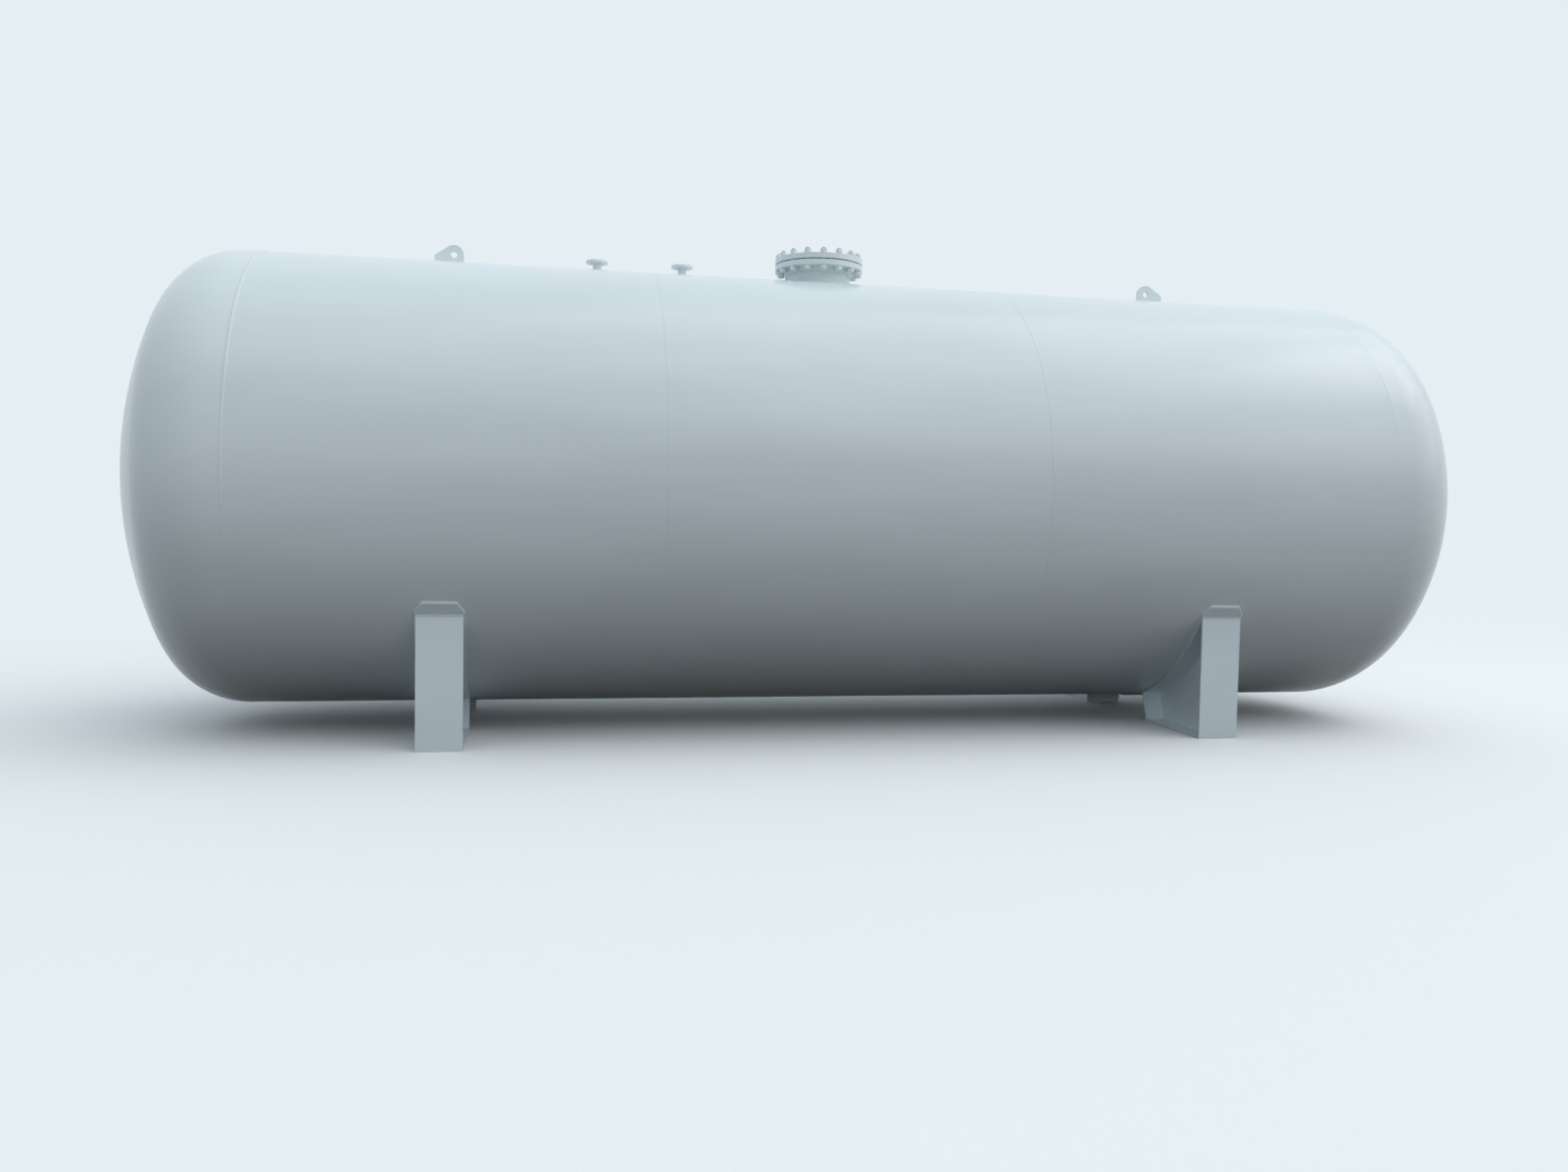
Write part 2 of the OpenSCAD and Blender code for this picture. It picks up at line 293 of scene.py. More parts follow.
# %% The finishes
finishes = {
    "tank_paint": enamel("tank enamel", (0.765, 0.82, 0.85), 0.22, 0.0),
    # Legs and pads: the tank's white painted lighter and bluer, as painted sky light
    "leg_paint": enamel("leg enamel with painted sky light", (0.80, 0.872, 0.912), 0.34, 0.12),
    "fitting_paint": enamel("fitting enamel", (0.79, 0.85, 0.865), 0.33, 0.0),
    "gasket": gasket_sheet("gasket sheet"),
    # The two middle seams: a shade darker than the shell's white
    "seam_paint": enamel("darker seam enamel", (0.745, 0.798, 0.827), 0.22, 0.0),
    # Beads round the pads: a good deal darker than the pads' white, with dust low down
    "bead_paint": enamel("darker dusty bead enamel", (0.64, 0.69, 0.715), 0.36, 0.12),
}
print("finishes:", ", ".join(finishes))


# %% [markdown]
# ## A plate with two skins
#
# Courses, pads, flanges and legs are all plate: an upper skin, an under skin a wall's thickness away,
# and the edges between them. One function serves them all. It takes both skins on the same grid, leaves
# out the cells inside a hole, and joins the two skins along every edge that is left open, so the result
# is a closed solid with true walls.

# %% Two skins
def two_skins(top, under, wrap=False, gone=None):
    """Points and faces of a plate whose skins top and under are (n, m, 3) grids.

    wrap joins the last column to the first, and gone marks the cells that a hole takes.
    """
    count_u, count_v = top.shape[:2]
    below = count_u * count_v
    cells = (count_u - 1, count_v - (not wrap))
    keep = np.ones(cells, bool) if gone is None else ~gone
    upper = quads(count_u, count_v, wrap_v=wrap)
    lower = upper[:, ::-1] + below
    around = np.zeros((cells[0] + 2, cells[1] + 2), bool)
    around[1:-1, 1:-1] = keep
    if wrap:
        around[1:-1, 0], around[1:-1, -1] = keep[:, -1], keep[:, 0]
    faces = [upper[keep.ravel()], lower[keep.ravel()]]
    # Each open edge (p, q) of the upper skin gets a wall q, p, p', q' down to the under skin
    for p, q, (row, column) in ((0, 1, (1, 0)), (1, 2, (2, 1)), (2, 3, (1, 2)), (3, 0, (0, 1))):
        neighbour = around[row:row + cells[0], column:column + cells[1]]
        edge = upper[(keep & ~neighbour).ravel()]
        faces.append(np.stack([edge[:, q], edge[:, p], edge[:, p] + below, edge[:, q] + below], 1))
    return np.concatenate([top.reshape(-1, 3), under.reshape(-1, 3)]), np.concatenate(faces)


# %% [markdown]
# ## Round holes in a square grid
#
# A hole is cut by leaving out the cells inside a square and drawing that square out into a circle. Near
# the hole, every square ring of grid lines is pulled to the circle of the same half-width, and the pull
# fades to nothing at twice the hole's radius. A slot is the same with its middle stretched.

# %% Grid lines that close up at holes
lines_by_hole = np.array([0, 0.25, 0.5, 0.75, 1, 1.12, 1.3, 1.6, 2])


def grid_lines(low, high, step, holes):
    """Parameter lines from low to high, even ones of about one step and closer ones by each hole.

    A hole is (centre, radius, stretch), and the closer lines lie at set shares of its radius.
    """
    lines = np.linspace(low, high, max(2, int(round((high - low) / step)) + 1))
    for centre, radius, stretch in holes:
        reach = 2 * radius + stretch
        lines = lines[(np.abs(lines - centre) > reach + 0.3 * radius) | (lines == low) | (lines == high)]
        close = radius * lines_by_hole
        close = np.concatenate([centre - stretch - close, centre + stretch + close])
        lines = np.concatenate([lines, close[(close >= low) & (close <= high)]])
    return np.unique(np.round(lines, 7))


# %% Square edges drawn round
def draw_holes(u, v, holes):
    """Moves grid points, in metres along the plate, so that each hole's square edge becomes round.

    A hole is (centre u, centre v, radius, stretch). The third result marks the cells inside the holes.
    """
    moved_u, moved_v = u.copy(), v.copy()
    mid_u = (u[:-1, :-1] + u[1:, 1:]) / 2
    mid_v = (v[:-1, :-1] + v[1:, 1:]) / 2
    gone = np.zeros(mid_u.shape, bool)
    for centre_u, centre_v, radius, stretch in holes:
        along, across = u - centre_u, v - centre_v
        beyond = np.maximum(np.abs(along) - stretch, 0)
        square = np.maximum(beyond, np.abs(across))
        far = np.hypot(beyond, across)
        round_to = np.divide(square, far, out=np.ones_like(square), where=square > 1e-9)
        fade = np.clip((square - radius) / radius, 0, 1)
        pull = round_to + (1 - round_to) * fade * fade * (3 - 2 * fade)
        near = square < 2 * radius
        drawn_out = np.minimum(np.abs(along), stretch) + beyond * pull
        moved_u = np.where(near, centre_u + np.sign(along) * drawn_out, moved_u)
        moved_v = np.where(near, centre_v + across * pull, moved_v)
        gone |= (np.abs(mid_u - centre_u) < radius + stretch) & (np.abs(mid_v - centre_v) < radius)
    return moved_u, moved_v, gone


# %% [markdown]
# ## The three rolled courses
#
# A course is a flat plate rolled to a cylinder and welded along its length. Rolled plate is never quite
# round: it keeps faint flats, and each girth weld shrinks and pulls the shell in by a millimetre or so.
# The eye reads those from the way the reflections waver, so they belong to the shape and not to the
# paint. The radius at a point is the true one plus a few long, low waves and a dip at each girth weld.
# At the right head the plates meet in a low ridge instead, with a broken light side and dark side.

# %% Unevenness of rolled plate
dip_depth, dip_width = 0.0012, 0.07
ridge_height, ridge_width = 0.0022, 0.055


def seam_error(x, turn):
    """Radial error at the girth welds in metres.

    At three of them it is a round dip, a bell curve along the tank. At the right head it is a sharp ridge
    over the top only, whose height is uneven round the tank.
    """
    dips = np.array([-half_length, -seam_x, seam_x])
    dip = np.exp(-((x[..., None] - dips) / dip_width) ** 2).sum(-1)
    uneven = 1 + 0.25 * np.sin(17 * turn + 0.4) + 0.2 * np.sin(41 * turn + 2.0)
    over_the_top = np.clip(1.4 * np.cos(turn), 0, 1)
    ridge = over_the_top * uneven * np.exp(-np.abs(x - half_length) / ridge_width)
    return ridge_height * ridge - dip_depth * dip


def plate_waves(x, turn):
    """Radial error in metres: waves along and round the tank of under a millimetre, which fade towards
    the heads, and the errors at the girth welds."""
    waves = 0.00045 * np.sin(2.1 * x + 3 * turn + 0.6) + 0.0003 * np.sin(5.3 * x - 4 * turn + 1.9)
    waves += 0.00025 * np.sin(9 * turn + 1.3 * x) * np.cos(1.7 * x)
    from_end = np.clip((half_length - np.abs(x)) / 0.15, 0, 1)
    return waves * from_end + seam_error(x, turn)


# %% Points and directions on the tank
def on_tank(x, turn, radius):
    """Point at x along the tank, turned from the top towards the back, at a radius from the axis."""
    return np.stack([x, radius * np.sin(turn), axis_height + radius * np.cos(turn)], -1)


def outward(turn):
    """Direction away from the axis at a turn."""
    return np.stack([0 * turn, np.sin(turn), np.cos(turn)], -1)


def onward(turn):
    """Direction round the shell at a turn, the way that the turn grows."""
    return np.stack([0 * turn, np.cos(turn), -np.sin(turn)], -1)


# %% Build the courses
courses = {"left": (-half_length, -seam_x), "middle": (-seam_x, seam_x), "right": (seam_x, half_length)}
pipes = [(manway_x, neck_radius)] + [(x, pipe_radius) for x in nozzle_places.values()]
half_girth = math.pi * shell_radius
step_along, step_round = 0.052, 0.040
for name, (start, end) in courses.items():
    openings = [(x, radius + fit_gap) for x, radius in pipes if start < x < end]
    lines_x = grid_lines(start, end, step_along, [(x, radius, 0.0) for x, radius in openings])
    lines_s = grid_lines(-half_girth, half_girth, step_round, [(0.0, radius, 0.0) for x, radius in openings])
    x, s = np.meshgrid(lines_x, lines_s, indexing="ij")
    x, s, gone = draw_holes(x, s, [(place, 0.0, radius, 0.0) for place, radius in openings])
    x, turn = x[:, :-1], s[:, :-1] / shell_radius
    outer = on_tank(x, turn, shell_radius + plate_waves(x, turn))
    inner = on_tank(x, turn, shell_radius - shell_wall)
    points, faces = two_skins(outer, inner, wrap=True, gone=gone)
    make_piece(f"course_{name}", points, faces, "tank_paint", [f"shell_course_{name}"])


# %% [markdown]
# ## The two dished heads
#
# A head is pressed and spun from one disc: a straight rim to weld to, a tight knuckle, and a wide crown.
# Both arcs touch without a corner, so the profile is a line, an arc about the knuckle's centre and an
# arc about the crown's centre, whose ends lie on the line through both centres. It is carried once
# round the axis. Spinning leaves shallow rings in the crown and faint lobes in the knuckle.

# %% Head profile
rim_rows, knuckle_rows, crown_rows, crown_spread = 8, 36, 44, 1.15


def dished_profile(wall):
    """Reach past the weld and radius from the axis, from the rim to the crown's pole, set in by a wall."""
    centre = shell_radius - knuckle_radius
    drop = math.sqrt((crown_radius - knuckle_radius) ** 2 - centre ** 2)
    meet = math.atan2(drop, centre)
    rim = np.linspace(0, 1, rim_rows)[:-1] * head_rim
    knuckle = np.linspace(0, meet, knuckle_rows)[:-1]
    crown = (math.pi / 2 - meet) * np.linspace(1, 0, crown_rows) ** crown_spread
    tight, wide = knuckle_radius - wall, crown_radius - wall
    along = [rim, head_rim + tight * np.sin(knuckle), head_rim - drop + wide * np.cos(crown)]
    out = [np.full_like(rim, shell_radius - wall), centre + tight * np.cos(knuckle), wide * np.sin(crown)]
    return np.concatenate(along), np.concatenate(out)


head_columns, spun_from, spun_fade = 216, 0.06, 0.2
lobe_height, lobe_radius, lobe_width = 0.0009, 1.36, 0.11
ring_height, ring_width, rings_to, rings_fade = 0.0004, 0.055, 1.25, 0.3


def head_skin(side, wall, spun):
    """The profile carried round the axis.

    spun scales the errors of spinning, which begin a little way past the weld: rings that fade out
    towards the knuckle, and seven lobes round the knuckle. It also scales the error at the weld.
    """
    along, out = dished_profile(wall)
    along, turn = np.meshgrid(along, full_turn(head_columns), indexing="ij")
    out = np.broadcast_to(out[:, None], along.shape)
    away = np.clip((along - spun_from) / spun_fade, 0, 1)
    lobes = lobe_height * np.sin(7 * turn + 0.8) * np.exp(-((out - lobe_radius) / lobe_width) ** 2)
    rings = ring_height * np.sin(out / ring_width) * np.clip((rings_to - out) / rings_fade, 0, 1)
    swell = spun * away * (lobes + rings)
    seam = spun * seam_error(side * (half_length + along), side * turn)
    return on_tank(side * (half_length + along + swell), side * turn, out * (1 + swell) + seam)


# %% Build the heads
for name, side in sides.items():
    points, faces = two_skins(head_skin(side, 0, 1.0), head_skin(side, shell_wall, 0.0), wrap=True)
    make_piece(f"dished_head_{name}", points, faces, "tank_paint", [f"head_{name}"])


# %% [markdown]
# ## Weld beads
#
# A girth seam is filled by many runs of weld, and the last one stands up to a few millimetres proud. As
# each pool freezes behind the arc it leaves a ripple, bowed like the edge of a coin. A bead is a profile
# carried along a path: at each step, two directions say which way the profile's two axes point. For a
# seam these are across the seam and out from the plate. For a fillet they run along the two plates that
# meet. The profile dips below the plate, so the bead's foot is buried and the bead is a closed solid.

# %% Carry a profile along a path
def carry(path, first, second, section, ripple, pitch, closed):
    """Points path + first * a + second * b, with (a, b) from the section.

    a wanders a little along the path. Where b is above the plate it swells with ripples of one pitch that
    bow backwards. A path that isn't closed gets faces over both ends.
    """
    first, second = (np.broadcast_to(way, path.shape) for way in (first, second))
    steps = np.linalg.norm(np.diff(path, axis=0), axis=1)
    travel = np.concatenate([[0], np.cumsum(steps)])[:, None]
    bow = np.linspace(-1, 1, len(section)) ** 2
    swell = 1 + ripple * np.cos(2 * math.pi * (travel / pitch + 0.35 * bow))
    wander = 1 + 0.04 * np.sin(travel / 0.11) + 0.03 * np.sin(travel / 0.037 + 1)
    a = section[:, 0] * wander
    b = np.where(section[:, 1] > 0, section[:, 1] * swell, section[:, 1])
    points = path[:, None] + first[:, None] * a[..., None] + second[:, None] * b[..., None]
    count, around = points.shape[:2]
    faces = [quads(count, around, wrap_u=closed, wrap_v=True)]
    end_rows = () if closed else (0, count - 1)
    for row in end_rows:
        ring = row * around + np.arange(around)
        back, half = ring[::-1], around // 2
        faces.append(np.stack([ring[:half - 1], ring[1:half], back[1:half], back[:half - 1]], 1))
    return points.reshape(-1, 3), np.concatenate(faces)


# %% Profiles of beads
def cap_section(width, height):
    """A low arch, height times one minus the square of the place across, let in by 0.4 mm and closed 2 mm
    under the plate."""
    across = np.linspace(-1, 1, 7)
    arch = np.stack([across * width / 2, height * (1 - across ** 2) - 0.0004], 1)
    return np.concatenate([arch, [[width / 2, -0.002], [width / 6, -0.002], [-width / 6, -0.002]]])


def fillet_section(leg):
    """A triangle between two plates with a slightly full face, sunk 1 mm into both."""
    t = np.linspace(0, 1, 7)
    full = 0.12 * leg * np.sin(math.pi * t)
    face = np.stack([leg * (1 - t) + full, leg * t + full], 1)
    sunk = -0.001
    return np.concatenate([face, [[sunk, leg], [sunk, leg / 2], [sunk, sunk], [leg / 2, sunk], [leg, sunk]]])


def gather(parts):
    """Several (points, faces) pairs as one."""
    starts = np.cumsum([0] + [len(points) for points, _ in parts[:-1]])
    faces = [faces + start for (_, faces), start in zip(parts, starts)]
    return np.concatenate([points for points, _ in parts]), np.concatenate(faces)


# %% Girth and long seams
seam_ripple, seam_pitch = 0.14, 0.013
girth_width, girth_steps, ground_share = 0.025, 2299, 0.85
long_width, long_height, long_step, end_gap = 0.024, 0.003, 0.0045, 0.012


def girth_bead(x, height):
    """A ring round the tank at x, ground down towards the belly by a share of its height."""
    turn = full_turn(girth_steps)
    at_seam = np.full_like(turn, x)
    ground = ground_share * height * np.clip(0.5 - 0.9 * np.cos(turn), 0, 1)
    path = on_tank(at_seam, turn, shell_radius + seam_error(at_seam, turn) - ground)
    section = cap_section(girth_width, height)
    return carry(path, [1.0, 0, 0], outward(turn), section, seam_ripple, seam_pitch, True)


def long_bead(start, end, turn):
    """A straight bead along one course, on the back of the tank."""
    x = np.arange(start + end_gap, end - end_gap, long_step)
    turns = np.full_like(x, turn)
    path = on_tank(x, turns, shell_radius + plate_waves(x, turns))
    section = cap_section(long_width, long_height)
    return carry(path, onward(turns), outward(turns), section, seam_ripple, seam_pitch, False)


# Place along the tank, height of the bead, and its finish where that isn't the slot's own
seams = {
    "head_left": (-half_length, 0.0040, None),
    "left": (-seam_x, 0.0015, "seam_paint"),
    "right": (seam_x, 0.0018, "seam_paint"),
    "head_right": (half_length, 0.0008, None),
}
for name, (x, height, finish) in seams.items():
    make_piece(f"girth_weld_{name}", *girth_bead(x, height), "tank_paint", finish=finish)
# Neighbouring courses have their long seams staggered, so that no two meet at a girth weld
for name, degrees in (("left", 55), ("middle", 85), ("right", 55)):
    make_piece(f"long_weld_{name}", *long_bead(*courses[name], math.radians(degrees)), "tank_paint")


# %% [markdown]
# ## Wear pads
#
# Under each pair of legs a curved plate is welded to the shell, to spread the load. Its grid runs along
# the tank and round the shell. The clipped corners come from narrowing the plate near its two ends, so
# every column of the grid is simply scaled to the width that the plate has there.

# %% Sizes of the pads
pad_low, pad_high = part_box("wear_pad_right")
pad_width = round(pad_high.x - pad_low.x, 3)
pad_seat = shell_radius + fit_gap
pad_thickness = round(axis_height - shell_radius - pad_low.z, 4) - fit_gap
pad_radius = pad_seat + pad_thickness
pad_turn = math.asin(min(1.0, pad_high.y / pad_radius))
clip_length, clip_depth = 0.070, 0.045
pad_bevel, pad_rows, pad_columns = 0.0012, 9, 161
leg_x = round((pad_low.x + pad_high.x) / 2, 3)
print("pad:", pad_width, "wide", pad_thickness, "thick, to", round(math.degrees(pad_turn), 1), "degrees")


# %% Build the pads
def pad_half_width(turn):
    """Half the plate's width at a turn from straight down: full, and less by the clip's depth at the end."""
    left = (pad_turn - np.abs(turn)) * pad_radius
    return pad_width / 2 - clip_depth * np.clip(1 - left / clip_length, 0, 1)


clip_turn = pad_turn - clip_length / pad_radius
pad_turns = np.concatenate([[-pad_turn], np.linspace(-clip_turn, clip_turn, pad_columns), [pad_turn]])
for name, side in sides.items():
    across, turn = np.meshgrid(np.linspace(-1, 1, pad_rows), pad_turns, indexing="ij")
    x = side * leg_x + across * pad_half_width(turn)
    points, faces = two_skins(*(on_tank(x, math.pi - turn, radius) for radius in (pad_radius, pad_seat)))
    make_piece(f"pad_{name}", points, faces, "leg_paint", [f"wear_pad_{name}"], bevel=pad_bevel)


# %% [markdown]
# ## Legs
#
# A leg is a box open at its sides: an end plate facing out, a web through the middle, a rib facing in
# and a sole plate under them. The rib leans, so that it meets the shell squarely, in line with the
# tank's axis. The three standing plates are cut to the curve of the pad above. Each is a grid whose
# second parameter runs from the sole up to the curve, whose height is the axis height less the root of
# the seat radius squared minus the distance out squared.

# %% Sizes of the legs
width_low, width_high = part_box("end_plate_front_right")
end_low, end_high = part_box("end_plate_back_right")
sole_low, sole_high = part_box("sole_plate_back_right")
web_low, web_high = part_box("web_back_right")
seat_radius = pad_radius + fit_gap
leg_width = round(width_high.x - width_low.x, 4)
leg_out, end_from = round(end_high.y, 4), round(end_low.y, 4)
leg_in, sole = round(sole_low.y, 4), round(sole_high.z, 4)
web_thickness = round(web_high.x - web_low.x, 4)
rib_thickness = 0.016
rib_lean = math.atan2(leg_in, axis_height - sole)
anchor_reach, anchor_radius, anchor_slot = 0.090, 0.014, 0.012
leg_bevel, step_on_sole, step_out_sole = 0.0015, 0.02, 0.03
print("legs at", leg_x, "rib leans", round(math.degrees(rib_lean), 1), "degrees")


# %% End plates and ribs
def pad_height(y):
    """Height of the curve that the plates are cut to, at a distance out from the centre plane."""
    return axis_height - np.sqrt(seat_radius ** 2 - y ** 2)


def across_leg(side, face, skins):
    """Both skins of a plate across the leg; each is a foot (y, z) and a top (y, z), joined straight."""
    x = np.linspace(-1, 1, 8) * leg_width / 2 + side * leg_x
    x, rise = np.meshgrid(x, np.linspace(0, 1, 12), indexing="ij")
    grids = []
    for foot, top in skins:
        y = foot[0] + rise * (top[0] - foot[0])
        z = foot[1] + rise * (top[1] - foot[1])
        grids.append(np.stack([x, face * y, z], -1))
    return two_skins(*grids)


def rib_face(depth):
    """Foot and top of the rib's face that lies a depth outside the plane through the tank's axis."""
    cosine, sine = math.cos(rib_lean), math.sin(rib_lean)
    foot = ((axis_height - sole) * math.tan(rib_lean) + depth / cosine, sole)
    down = math.sqrt(seat_radius ** 2 - depth ** 2)
    return foot, (down * sine + depth * cosine, axis_height - down * cosine + depth * sine)


end_skins = [((y, sole), (y, pad_height(y))) for y in (leg_out, end_from)]
rib_skins = [rib_face(rib_thickness), rib_face(0.0)]
web_foot, web_top = rib_skins[0]


# %% Webs and sole plates
def web_plate(side, face):
    """Both skins of the plate along the leg's middle, from the leaning rib to the end plate."""
    along, rise = np.meshgrid(np.linspace(0, 1, 60), np.linspace(0, 1, 10), indexing="ij")
    low_y, high_y = (inner[0] + along * (end_from - inner[0]) for inner in (web_foot, web_top))
    y = low_y + rise * (high_y - low_y)
    height = sole + rise * (pad_height(high_y) - sole)
    places = [side * leg_x + edge * web_thickness / 2 for edge in (1, -1)]
    return two_skins(*(np.stack([np.full_like(y, x), face * y, height], -1) for x in places))


def sole_plate(side, face):
    """The plate on the ground, with two anchor holes.

    They are round under the left legs, and slotted along the tank under the right ones.
    """
    stretch = anchor_slot if side > 0 else 0.0
    middle = (leg_in + leg_out) / 2
    places = (-anchor_reach, anchor_reach)
    holes = [(place, middle, anchor_radius, stretch) for place in places]
    half, slots = leg_width / 2, [(place, anchor_radius, stretch) for place in places]
    lines_u = grid_lines(-half, half, step_on_sole, slots)
    lines_v = grid_lines(leg_in, leg_out, step_out_sole, [(middle, anchor_radius, 0.0)])
    u, v = np.meshgrid(lines_u, lines_v, indexing="ij")
    u, v, gone = draw_holes(u, v, holes)
    skins = [np.stack([side * leg_x + u, face * v, np.full_like(u, z)], -1) for z in (sole, 0.0)]
    return two_skins(*skins, gone=gone)


# %% Build the legs
depths = {"front": -1, "back": 1}
legs = [(f"{depth}_{name}", side, face) for depth, face in depths.items() for name, side in sides.items()]
for name, side, face in legs:
    plates = {
        "end": ("end_plate", across_leg(side, face, end_skins)),
        "rib": ("inner_rib", across_leg(side, face, rib_skins)),
        "web": ("web", web_plate(side, face)),
        "sole": ("sole_plate", sole_plate(side, face)),
    }
    for plate, (node, surfaces) in plates.items():
        make_piece(f"leg_{plate}_{name}", *surfaces, "leg_paint", [f"{node}_{name}"], bevel=leg_bevel)


# %% [markdown]
# ## Fillet welds of the pads and legs
#
# The plates of a leg are welded to each other, to the sole and to the pad, and the pad is welded to the
# shell all round. Each fillet is the triangle section carried along the corner that it fills, with its
# two axes along the two plates.

# %% Fillets of a leg
plate_fillet, pad_edge_fillet = 0.007, 0.009
fillet_ripple = 0.09
leg_pitch, leg_step, pad_pitch, pad_step = 0.011, 0.005, 0.012, 0.006


def leg_fillet(path, first, second):
    """An open fillet of the legs along a path."""
    return carry(path, first, second, fillet_section(plate_fillet), fillet_ripple, leg_pitch, False)


def run(start, end, first, second):
    """A straight fillet from start to end."""
    start, end = np.array(start, float), np.array(end, float)
    count = max(8, int(np.linalg.norm(end - start) / leg_step))
    return leg_fillet(start + (end - start) * np.linspace(0, 1, count)[:, None], first, second)


def pad_slope(y):
    """Direction along the pad's curve, away from the centre plane and up."""
    rise = y / np.sqrt(seat_radius ** 2 - y ** 2)
    return unit(np.stack([np.zeros_like(y), np.ones_like(y), rise], -1))


def leg_fillets(side, face):
    """All the fillets of one leg, worked out for the back and mirrored to the front where face is -1."""
    middle, half = side * leg_x, leg_width / 2
    up_rib = np.array([0, -math.sin(rib_lean), math.cos(rib_lean)])
    out_web = np.array([0, math.cos(rib_lean), math.sin(rib_lean)])
    end_foot, end_top = (end_from, sole), (end_from, pad_height(end_from))
    parts = []
    for top, first, second in ((end_skins[0][1], (0, 0, -1), pad_slope(np.array(leg_out))),
                               (rib_skins[1][1], -up_rib, -out_web)):
        parts.append(run((middle - half, *top), (middle + half, *top), first, second))
    for edge in (-1, 1):
        x, x_end = middle + edge * web_thickness / 2, middle + edge * (half - 0.01)
        sideways = (edge, 0, 0)
        parts.append(run((x, *web_foot), (x, *end_foot), sideways, (0, 0, 1)))
        parts.append(run((x, *web_foot), (x, *web_top), sideways, out_web))
        parts.append(run((x, *end_foot), (x, *end_top), sideways, (0, -1, 0)))
        parts.append(run((x, *end_foot), (x_end, *end_foot), (0, -1, 0), (0, 0, 1)))
        parts.append(run((x, *web_foot), (x_end, *web_foot), (0, 1, 0), up_rib))
        y = np.linspace(web_top[0], end_from, 180)
        slope = pad_slope(y)
        down = np.stack([slope[:, 0], slope[:, 2], -slope[:, 1]], -1)
        parts.append(leg_fillet(np.stack([np.full_like(y, x), y, pad_height(y)], -1), sideways, down))
    points, faces = gather(parts)
    return points * [1, face, 1], faces


# %% Fillet round a pad
def pad_fillet(side):
    """A closed fillet round a pad: the outline is walked in the plane of the plate and laid on the shell."""
    reach, wide = pad_turn * pad_radius, pad_width / 2
    straight, narrow = reach - clip_length, wide - clip_depth
    corners = np.array([
        (wide, -straight), (wide, straight), (narrow, reach), (-narrow, reach),
        (-wide, straight), (-wide, -straight), (-narrow, -reach), (narrow, -reach), (wide, -straight)])
    lengths = np.linalg.norm(np.diff(corners, axis=0), axis=1)
    travel = np.arange(0, lengths.sum(), pad_step)
    knots = np.concatenate([[0], np.cumsum(lengths)])
    x, s = (np.interp(travel, knots, corners[:, column]) for column in (0, 1))
    ahead = unit(np.stack([np.roll(x, -1) - np.roll(x, 1), np.roll(s, -1) - np.roll(s, 1)], 1))
    turn = math.pi - s / pad_radius
    path = on_tank(side * leg_x + x, turn, shell_radius)
    first = ahead[:, 1:] * [1.0, 0, 0] + ahead[:, :1] * onward(turn)
    section = fillet_section(pad_edge_fillet)
    return carry(path, first, outward(turn), section, fillet_ripple, pad_pitch, True)


# %% Weld the pads and legs
for name, side in sides.items():
    make_piece(f"pad_weld_{name}", *pad_fillet(side), "leg_paint", finish="bead_paint")
for name, side, face in legs:
    make_piece(f"leg_welds_{name}", *leg_fillets(side, face), "leg_paint")


# %% [markdown]
# ## Lifting lugs
#
# A lug is a flat plate with a round nose about its eye and a tail that slopes down outwards. Its outline
# is an arc, a slope that touches it, and straight edges, walked once in even steps that also stop at
# every corner. The grid then runs from the eye's edge to that outline, so the eye is open and the plate
# has both faces.

# %% Outline of a lug
lug_low, lug_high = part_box("lifting_lug_right")
nose, eye_radius, eye_height, tail_height = 0.066, 0.0225, 0.072, 0.062
tail = round(lug_high.x - lug_low.x, 4) - nose
lug_x = lug_low.x + nose
lug_foot = shell_high.z + fit_gap
lug_thickness = lug_high.y - lug_low.y
lug_bevel = 0.0018
print("lugs at", round(lug_x, 3), "thickness", round(lug_thickness, 4))


def lug_outline():
    """Corners of the outline seen from the eye: nose arc, slope that touches it, tail, foot, upright edge."""
    far = math.hypot(tail, eye_height - tail_height)
    touch = math.acos(nose / far) - math.atan2(eye_height - tail_height, tail)
    arc = np.linspace(math.pi, touch, 28)
    curve = nose * np.stack([np.cos(arc), np.sin(arc)], 1)
    rest = [[tail, tail_height - eye_height], [tail, -eye_height], [-nose, -eye_height], [-nose, 0]]
    return np.concatenate([curve, rest])


# %% Build the lugs
corners = lug_outline()
travel = np.concatenate([[0], np.cumsum(np.linalg.norm(np.diff(corners, axis=0), axis=1))])
places = np.unique(np.concatenate([travel, np.linspace(0, travel[-1], 90)]))[:-1]
edge = np.stack([np.interp(places, travel, corners[:, column]) for column in (0, 1)], 1)
share = np.linspace(0, 1, 8)[:, None, None]
flat = unit(edge) * eye_radius * (1 - share) + edge * share
for name, side in sides.items():
    x, z = side * (lug_x + flat[..., 0]), lug_foot + eye_height + flat[..., 1]
    skins = [np.stack([x, np.full_like(x, y), z], -1) for y in (-lug_thickness / 2, lug_thickness / 2)]
    points, faces = two_skins(*skins, wrap=True)
    make_piece(f"lug_{name}", points, faces, "fitting_paint", [f"lifting_lug_{name}"], bevel=lug_bevel)


# %% [markdown]
# ## Necks
#
# A neck is a piece of pipe pushed through a hole in the shell, trimmed flush inside and welded outside.
# Where two round pipes cross at right angles, the height of the seam at a bearing is the axis height plus
# the root of the large radius squared minus the small radius times the bearing's sine, squared.

# %% A pipe and its weld
top_pitch, neck_step, neck_rows = 0.010, 0.0045, 14


def crossing(place_x, radius, bearing, tank_radius):
    """Points where an upright pipe of one radius meets the tank's skin of another."""
    x, y = place_x + radius * np.cos(bearing), radius * np.sin(bearing)
    return np.stack([x, y, axis_height + np.sqrt(tank_radius ** 2 - y ** 2)], -1)


